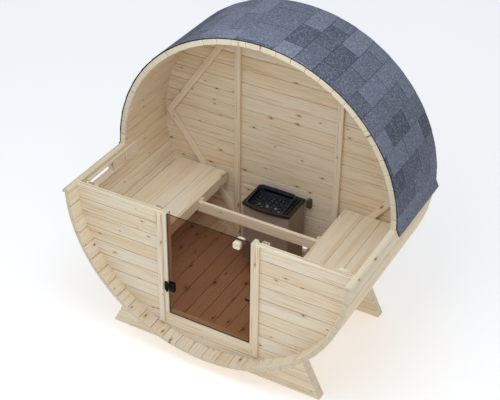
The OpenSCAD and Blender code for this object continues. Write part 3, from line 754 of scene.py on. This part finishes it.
# Heat-proof paint on the frame: a brownish black with matt patches some 30 mm across
frame_black = mottled(
    "heat_proof_brown_black", 0.42, 30 * MM, ("#1a1815", "#24211d"), Specular_IOR_Level=0.4)
# Enamel of the tray: a smooth cold black, which shows soft reflections
tray_black = mottled("black_enamel", 0.3, 30 * MM, ("#31343b", "#3f424a"), Specular_IOR_Level=0.5)
# Split stone: a dull dark grey with crystals of a few millimetres, drawn at 9 mm to show
stone_grey = mottled("split_olivine", 0.55, 9 * MM, ("#15161b", "#2c2e36"))
# Painted glints on the edges of the front stones: light grey flakes some 14 mm long, which stand in for
# highlights
glint_edge = mottled("painted_glint_stone_edge", 0.6, 14 * MM, ("#44474f", "#d5d9e4"))

low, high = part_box("heater_body")
casing_round = 14 * MM
sheet = 2 * MM
casing = block(high - low)
upright_edges = [e for e in casing.edges if abs(e.verts[0].co.z - e.verts[1].co.z) > sheet]
break_edges(casing, upright_edges, casing_round, 4)
bmesh.ops.translate(casing, vec=(low + high) / 2, verts=casing.verts)
casing.normal_update()
open_top = [face for face in casing.faces if face.normal.z > 0.9]
bmesh.ops.delete(casing, geom=open_top, context="FACES_ONLY")
bmesh.ops.solidify(casing, geom=casing.faces[:], thickness=sheet)
show("coated", "heater_body", casing, [steel])

rim_z = high.z
rim_high = 18 * MM
tray_wall = 5 * MM
heater_bow = 25 * MM
bow_steps = 16
tray_r = 24 * MM
slot_w = 11 * MM
slot_land = 9 * MM
top_low, top_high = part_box("heater_top")
stones_low, stones_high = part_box("heater_stones")


def rounded(x0, x1, y0, y1, radius, steps=6):
    """Points round a rectangle with round corners."""
    points = []
    for turn, (x, y) in enumerate(((x1, y1), (x0, y1), (x0, y0), (x1, y0))):
        centre_x = x - radius if x == x1 else x + radius
        centre_y = y - radius if y == y1 else y + radius
        for step in range(steps + 1):
            angle = math.pi / 2 * (turn + step / steps)
            points.append((centre_x + radius * math.cos(angle), centre_y + radius * math.sin(angle)))
    return points


def plate_of(outlines, z0, z1):
    """A plate between two heights, inside its first outline and round the others, and its upper corners."""
    plate = bmesh.new()
    lines = []
    for points in outlines:
        corners = [plate.verts.new((x, y, z0)) for x, y in points]
        lines += [plate.edges.new(pair) for pair in zip(corners, corners[1:] + corners[:1])]
    bmesh.ops.triangle_fill(plate, edges=lines, use_beauty=True)
    upper = pull(plate, plate.faces[:], (0, 0, z1 - z0))
    bmesh.ops.recalc_face_normals(plate, faces=plate.faces)
    return plate, upper


half_w = (top_high.x - top_low.x) / 2
top_x = (top_high.x + top_low.x) / 2
bow = [(top_x + half_w * t, top_low.y + heater_bow * t * t)
       for t in (2 * step / bow_steps - 1 for step in range(bow_steps + 1))]
frame_lines = [bow + [(top_high.x, top_high.y), (top_low.x, top_high.y)],
               rounded(stones_low.x, stones_high.x, stones_low.y, stones_high.y, tray_r)]
for i in range(2):
    slot_x = stones_high.x + slot_land + i * (slot_w + slot_land)
    frame_lines.append(rounded(slot_x, slot_x + slot_w, stones_low.y, stones_high.y, slot_w / 3, 2))
heater_top, _ = plate_of(frame_lines, rim_z, rim_z + rim_high)
tray_lines = [rounded(stones_low.x - tray_wall, stones_high.x + tray_wall, stones_low.y - tray_wall,
                      stones_high.y + tray_wall, tray_r + tray_wall), frame_lines[1]]
tray, tray_edge = plate_of(tray_lines, stones_low.z, rim_z + rim_high)
for corner in tray_edge:
    towards_wall = (corner.co.y - stones_low.y) / (stones_high.y - stones_low.y)
    corner.co.z += (top_high.z - rim_z - rim_high) * min(max(towards_wall, 0), 1)
for face in tray.faces:
    face.material_index = 1
lay(heater_top, tray)
show("black", "heater_top", heater_top, [frame_black, tray_black])

stones = bmesh.new()
stones_w, stones_d = stones_high.x - stones_low.x, stones_high.y - stones_low.y
stone_pitch = 31 * MM
stone_mm, sink_mm = (13, 21), (-6, 2)
stone_lumps, stone_chip, glint_share = (0.72, 1.12), 0.07, 0.7
stone_tilt, stone_stray = 0.6, 0.12
columns, rows = int(stones_w / stone_pitch), int(stones_d / stone_pitch)
for i in range(columns):
    for j in range(rows):
        stone = bmesh.new()
        bmesh.ops.create_icosphere(stone, subdivisions=1, radius=1.0)
        for corner in stone.verts:
            corner.co *= chance.uniform(*stone_lumps)
        break_edges(stone, stone.edges[:], stone_chip)
        # Only stones in the front half get the painted glints on their edges
        glinting = j < rows / 2 and i > 0 and chance.random() < glint_share
        for face in stone.faces:
            face.material_index = int(glinting and len(face.verts) == 4)
        size = [chance.uniform(*stone_mm) * MM for _ in range(3)]
        turn = Matrix.Rotation(chance.uniform(0, math.tau), 4, "Z") @ Matrix.Rotation(
            chance.uniform(-stone_tilt, stone_tilt), 4, "X")
        x = stones_low.x + stones_w * (i + 0.5 + chance.uniform(-stone_stray, stone_stray)) / columns
        y = stones_low.y + stones_d * (j + 0.5 + chance.uniform(-stone_stray, stone_stray)) / rows
        z = stones_high.z - size[2] + chance.uniform(*sink_mm) * MM
        lay(stones, stone, Matrix.Translation((x, y, z)) @ turn @ Matrix.Diagonal(size + [1]))
bed, _ = plate_of(frame_lines[1:2], stones_low.z, stones_high.z - stone_mm[1] * MM)
lay(stones, bed)
show("split", "heater_stones", stones, [stone_grey, glint_edge])
dress("heater_bracket", frame_black)


# Sensor: a small grey-brown plastic housing on the back wall beside the heater, with a rounded head.
# Its mould was spark-eroded to a texture of about 0.5 mm, drawn at 4 mm to show.
moulded = mottled("moulded_plastic", 0.6, 4 * MM, ("#4a3e35", "#584b40"))
low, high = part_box("sensor_box")
head_r = 22 * MM
head_steps = 10
sensor_round = 4 * MM
half_w = (high.x - low.x) / 2
reach = math.asin(half_w / head_r)
head = [(head_r * math.sin(a), high.z - head_r + head_r * math.cos(a))
        for a in (reach * (1 - 2 * step / head_steps) for step in range(head_steps + 1))]
middle_x = (low.x + high.x) / 2
outline = [(middle_x + x, high.y, z) for x, z in [(-half_w, low.z), (half_w, low.z)] + head]
housing, front_corners = drawn_out(outline, (0, low.y - high.y, 0))
front_rim = [e for e in housing.edges if all(v in front_corners for v in e.verts)]
break_edges(housing, front_rim, sensor_round, 3)
show("moulded", "sensor_box", housing, [moulded])


# Vent: two grooved spruce strips on the left top stave hold a spruce cover, which slides along the slot
# by an upright grip strip.
guide_lip = 4 * MM
cover_t, cover_lap, cover_bevel = 9 * MM, 5 * MM, 1 * MM
grip_w, grip_t = 18 * MM, 12 * MM
guide_depth = 2 * guide_lip + cover_t + 2 * running
vent_angle = stave_angle(vent_stave, -1)
low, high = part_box("vent_guides")
near, far = vent_h / 2 + running, vent_h / 2 + running + guide_h
groove = [(near, 0), (far, 0), (far, -guide_depth), (near, -guide_depth), (near, guide_lip - guide_depth),
          (near + cover_lap, guide_lip - guide_depth), (near + cover_lap, -guide_lip), (near, -guide_lip)]
guides = bmesh.new()
for updown in (1, -1):
    strip = moulding([(updown * across, out) for across, out in groove], high.y - low.y)
    lay(guides, strip, ring_place(vent_angle, lining, (low.y + high.y) / 2))
show("planed", "vent_guides", guides)
cover = bmesh.new()
cover_y = (vent_low.y + vent_high.y) / 2
slab = new_board(vent_l, vent_h + 2 * cover_lap, cover_t, cover_bevel)
lay(cover, slab, ring_place(vent_angle, lining - (guide_lip + running + cover_t / 2), cover_y))
grip = new_board(vent_h - 2 * guide_h, grip_w, grip_t)
grip_in = guide_lip + running + cover_t + grip_t / 2
upright = Matrix.Rotation(math.pi / 2, 4, "Z")
lay(cover, grip, ring_place(vent_angle, lining - grip_in, cover_y) @ upright)
show("planed", "vent_cover", cover, body="vent")


# Upper staves: the same boards, over the rear half only. The last one to be driven in, left of the crown's
# right end, is a little narrower, which leaves a dark gap beside it.
closing_stave = 30
closing_gap = 8 * MM
for node, first, after, side in (
        ("staves_rear_right", 16, 22, 1), ("staves_rear_left", 16, 22, -1),
        ("staves_shoulder_right", 22, 28, 1), ("staves_shoulder_left", 22, 28, -1),
        ("staves_crown", 28, 33, 1)):
    staves = bmesh.new()
    for k in range(first, after):
        stave = new_stave(cut_y, rear_y)
        if k == closing_stave:
            saw(stave, Vector((0, closing_gap - half_stave, 0)), Vector((0, -1, 0)))
        lay(staves, stave, stave_place(stave_angle(k, side), cut_y, rear_y))
        add_tongue(staves, k, side, cut_y, rear_y)
    show("spruce", node, staves)


# Roof: bitumen shingles with blue-grey stone granules on a black underlay, in courses that lap from the
# lower edges to the crown, each cut into tabs. The lowest courses bend out over the lips of the eave staves.
granule = 6 * MM
shadow_line_depth = 0.75
granules, shader = finish_of("slate_granules", 0.9, Specular_IOR_Level=0.2)
spot = add(granules, "TexCoord").outputs["Object"]
tab_tone = add(granules, "Attribute", attribute_name="tone").outputs["Fac"]
under = add(granules, "Attribute", attribute_name="course_shadow").outputs["Fac"]
# Granules are 1 to 2 mm across, drawn at 6 mm to show: dark and light grains on the tone of their tab
grit = add(granules, "TexVoronoi", {"Vector": spot, "Scale": 1 / granule})
luck = add(granules, "SeparateColor", {0: grit.outputs["Color"]})
dark_grit = add(granules, "MapRange", {
    "Value": luck.outputs[0], "From Min": 0.0, "From Max": 0.45, "To Min": 0.45, "To Max": 0.0})
light_grit = add(granules, "MapRange", {
    "Value": luck.outputs[1], "From Min": 0.7, "From Max": 1.0, "To Max": 0.45})
# Painted shadow: a dark line on each tab just below the lower edge of the next course, where it goes under
# that course
shadow_line_share = add(granules, "Math", {0: under, 1: shadow_line_depth}, operation="MULTIPLY")
colour = add(granules, "MixRGB", {
    "Fac": tab_tone, "Color1": linear("#555660"), "Color2": linear("#7c7d88")})
for share, shade in ((dark_grit, "#2b2c34"), (light_grit, "#b0b2bc"), (shadow_line_share, "#20212a")):
    colour = add(granules, "MixRGB", {"Fac": share, "Color1": colour, "Color2": linear(shade)})
granules.node_tree.links.new(colour.outputs[0], shader.inputs["Base Color"])
bump = add(granules, "Bump", {"Height": grit.outputs["Distance"], "Strength": 0.4, "Distance": MM})
granules.node_tree.links.new(bump.outputs[0], shader.inputs["Normal"])
# Bitumen at the cut edges: near black, with dull smears some 15 mm long
bitumen = mottled("bitumen_edge", 0.8, 15 * MM, ("#131419", "#22242c"), Specular_IOR_Level=0.2)

roof_clear = 0.3 * MM
roof_r = r_out / math.cos(stave_pitch / 2) + roof_clear
roof_hang = 6 * MM
underlay_t = 3 * MM
tab_t = 2.4 * MM
tab_w = 250 * MM
tab_slit = 3 * MM
course = 138 * MM
course_lap = 22 * MM
shadow_line_w = 8 * MM
tab_rows, underlay_rows = 6, 24
tab_shades, shade_spread = (0.0, 0.25, 0.5, 0.75, 0.9), 0.1
least_tab = 5 * MM
crown_lift = 0.8 * MM
on_axis = Vector((0, 0, axis_z))
eave_angle = stave_angle(vent_stave + 1, 1) - math.tau
lip_lean = math.atan2(lip_t, lip_h + lip_t * math.tan(stave_pitch / 2))
kink_s = math.hypot(lip_t, lip_h + lip_t * math.tan(stave_pitch / 2)) + roof_hang
flat_s = kink_s - lip_top
crown_s = flat_s + roof_r * (math.pi / 2 - eave_angle)


def roof_point(s, y, lift, side):
    """A place on the roof by its way up from the lower edge, its place along the barrel, and its height."""
    angle = eave_angle + max(s - flat_s, 0) / roof_r
    out = outward(angle)
    up = Vector((-out.z, 0, out.x))
    point = on_axis + out * (roof_r + lift) + up * min(max(s, kink_s) - flat_s, 0)
    below_kink = max(kink_s - s, 0)
    point += (out * math.sin(lip_lean) - up * math.cos(lip_lean)) * below_kink
    return Vector((side * point.x, y, point.z))


def add_tab(piece, s0, s1, y0, y1, lift0, lift1, thick, rows, side, lap=0.0):
    """Adds one tab of shingle, bent to the roof, with its upper end under the next course by a lap, and
    painted shadow where it meets that course's edge.
    """
    tab = bmesh.new()
    tone = tab.verts.layers.float.new("tone")
    course_shadow = tab.verts.layers.float.new("course_shadow")
    shade = chance.choice(tab_shades) + chance.uniform(0, shade_spread)
    steps = [s0 + (s1 - s0) * row / rows for row in range(rows + 1)]
    if s0 < kink_s < s1:
        steps = sorted(steps + [kink_s])
    if lap > 0:
        steps = sorted(steps + [s1 - lap - shadow_line_w, s1 - lap])
    pairs = []
    for s in steps:
        lift = thick + lift0 + (lift1 - lift0) * (s - s0) / (s1 - s0)
        pairs.append([tab.verts.new(roof_point(s, y, lift, side)) for y in (y0, y1)[::side]])
        # Corners from half a shadow line below the next course's edge upward carry the painted shadow
        for corner in pairs[-1]:
            corner[course_shadow] = float(lap > 0 and s > s1 - lap - shadow_line_w / 2)
    for lower, upper in zip(pairs, pairs[1:]):
        tab.faces.new((lower[0], lower[1], upper[1], upper[0]))
    tab.normal_update()
    bmesh.ops.solidify(tab, geom=tab.faces[:], thickness=thick)
    bmesh.ops.recalc_face_normals(tab, faces=tab.faces)
    for corner in tab.verts:
        corner[tone] = shade
    for face in tab.faces:
        centre = face.calc_center_median() - on_axis
        centre.y = 0
        face.material_index = int(face.normal.dot(centre.normalized()) < 0.7)
    lay(piece, tab)


def tab_edges(odd):
    """Ends of the tabs of a course along the barrel, with every second course half a tab further on."""
    ends = [rear_y, cut_y]
    edge = rear_y - (tab_w / 2 if odd else 0)
    while edge > cut_y + least_tab:
        ends.append(edge)
        edge -= tab_w
    ends = sorted(set(ends))
    return list(zip(ends, ends[1:]))


course_n = int(crown_s / course)
crown_share = 0.62
crown_from = crown_s * crown_share
roofs = {name: bmesh.new() for name in ("right", "left", "crown")}
for side, side_name in both_sides:
    add_tab(roofs[side_name], 0, crown_from, cut_y, rear_y, 0, 0, underlay_t, underlay_rows, side)
    for c in range(course_n):
        s0, s1 = c * course, min((c + 1) * course + course_lap, crown_s)
        piece = roofs["crown"] if s0 > crown_from else roofs[side_name]
        for y0, y1 in tab_edges(c % 2):
            add_tab(piece, s0, s1, y0 + tab_slit / 2, y1 - tab_slit / 2,
                    underlay_t + tab_t, underlay_t, tab_t, tab_rows, side, s1 - (c + 1) * course)
add_tab(roofs["crown"], crown_from, 2 * crown_s - crown_from, cut_y, rear_y, 0, 0, underlay_t,
        underlay_rows, 1)
for y0, y1 in tab_edges(course_n % 2):
    add_tab(roofs["crown"], course_n * course, 2 * crown_s - course_n * course, y0 + tab_slit / 2,
            y1 - tab_slit / 2, underlay_t + crown_lift, underlay_t + crown_lift, tab_t, tab_rows, 1)
for name, piece in roofs.items():
    show("shingles", "roof_" + name, piece, [granules, bitumen])


# Door: one pane of bronze glass with ground edges, hung on the left jamb by a black clamp hinge, with a
# rounded spruce knob on each face and a small black catch on its free edge.

# Bronze glass: an even brown tint, which wavers by about a hundredth over 200 mm. Its low IOR keeps the
# white studio's reflection as faint as on the real pane.
bronze = mottled("bronze_glass", 0.0, 200 * MM, ("#bda090", "#bfa292"), Transmission_Weight=1.0, IOR=1.1)
# Lamps shine through the pane, as through any thin sheet: their shadow rays meet a pale clear filter.
rays = add(bronze, "LightPath")
sheer = add(bronze, "BsdfTransparent", {"Color": linear("#faf4f0")})
passing = add(bronze, "MixShader", {
    "Fac": rays.outputs["Is Shadow Ray"], 1: bronze.node_tree.nodes["Principled BSDF"], 2: sheer})
bronze.node_tree.links.new(passing.outputs[0], bronze.node_tree.nodes["Material Output"].inputs["Surface"])
# Ground edges: near black from the front, with grinding marks some 8 mm long
ground = mottled("ground_glass_edge", 0.6, 8 * MM, ("#15100d", "#221812"), Specular_IOR_Level=0.2)
low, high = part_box("door_glass")
glass_front, glass_back = low.y, high.y
glass_bevel = 1 * MM
pane = block(high - low)
break_edges(pane, pane.edges[:], glass_bevel)
bmesh.ops.translate(pane, vec=(low + high) / 2, verts=pane.verts)
pane.normal_update()
for face in pane.faces:
    face.material_index = int(abs(face.normal.y) < 0.9)
show("bronze", "door_glass", pane, [bronze, ground], "door")

# Satin paint on the metal: black, with a grain of about 0.3 mm, drawn at 3 mm to show
satin = mottled("satin_black_metal", 0.5, 3 * MM, ("#050505", "#0b0b0c"), Specular_IOR_Level=0.12)
for node in ("hinge_jamb", "hinge_clamp", "door_catch"):
    dress(node, satin)

# The knobs are planed blocks, a little smaller than the round solids that they stand for
low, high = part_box("door_knobs")
share_w, share_h, share_l = 0.88, 0.84, 0.8
knob_w, knob_h = share_w * (high.x - low.x), share_h * (high.z - low.z)
knob_l = share_l * (high.y - glass_back)
knob_corner = 13 * MM
knob_round = 4 * MM
knobs = bmesh.new()
for out, face_y in ((-1, glass_front), (1, glass_back)):
    knob = block((knob_w, knob_h, knob_l))
    upright = [edge for edge in knob.edges if edge.verts[0].co.xy == edge.verts[1].co.xy]
    break_edges(knob, upright, knob_corner, 5)
    far_edges = [edge for edge in knob.edges if all(vert.co.z > 0.49 * knob_l for vert in edge.verts)]
    break_edges(knob, far_edges, knob_round, 3)
    for face in knob.faces:
        face.smooth = abs(face.normal.z) < 0.99
    mark_grain(knob)
    centre = ((low.x + high.x) / 2, face_y + out * knob_l / 2, (low.z + high.z) / 2)
    lay(knobs, knob, facing(centre, sideways, out * lengthways))
show("rounded", "door_knobs", knobs, body="door")


# Studio: a wide white paper floor and an even white surround, a broad soft light from the left in front,
# a small one over the open half that reaches the back wall, and the camera of the photograph.
floor_half = 20.0
paper_floor = bmesh.new()
bmesh.ops.create_grid(paper_floor, x_segments=1, y_segments=1, size=floor_half)
paper, _ = finish_of(
    "white_paper", 0.9, Base_Color=linear("#fdf8f0"), Emission_Color=linear("#ffffff"),
    Emission_Strength=0.35)
stand("floor", paper_floor, [paper])

surround = bpy.data.worlds.new("surround")
surround.use_nodes = True
surround.node_tree.nodes["Background"].inputs["Color"].default_value = linear("#e6f0ff")
surround.node_tree.nodes["Background"].inputs["Strength"].default_value = 0.63
bpy.context.scene.world = surround
bpy.context.scene.view_settings.view_transform = "Standard"

lamp_blue = (0.8, 0.9, 1.0)
lamp_aim = Vector((0, 0, 1.0))
lamps = (("broad", 5.0, 20, (-3.0, -4.5, 5.5)), ("small", 2.0, 38, (0.3, -1.05, 3.3)))
for name, size, watts, place in lamps:
    lamp_data = bpy.data.lights.new(name, "AREA")
    lamp_data.size = size
    lamp_data.energy = watts
    lamp_data.color = lamp_blue
    lamp = bpy.data.objects.new(name, lamp_data)
    lamp.location = place
    lamp.rotation_euler = (lamp_aim - lamp.location).to_track_quat("-Z", "Y").to_euler()
    lamp.visible_camera = False
    bpy.context.scene.collection.objects.link(lamp)

camera_at = (3.0204, -5.4935, 5.3728)
camera_data = bpy.data.cameras.new("camera")
camera_data.sensor_width = 36.0
camera_data.lens = 83.49
camera = bpy.data.objects.new("camera", camera_data)
bpy.context.scene.collection.objects.link(camera)
yaw, tilt, roll = math.radians(28.85), math.radians(34.9), math.radians(0.72)
ahead = Vector((-math.sin(yaw) * math.cos(tilt), math.cos(yaw) * math.cos(tilt), -math.sin(tilt)))
right = Vector((math.cos(yaw), math.sin(yaw), 0))
up = right.cross(ahead)
right, up = math.cos(roll) * right + math.sin(roll) * up, math.cos(roll) * up - math.sin(roll) * right
camera.matrix_world = Matrix.Translation(camera_at) @ Matrix((right, up, -ahead)).transposed().to_4x4()
bpy.context.scene.camera = camera
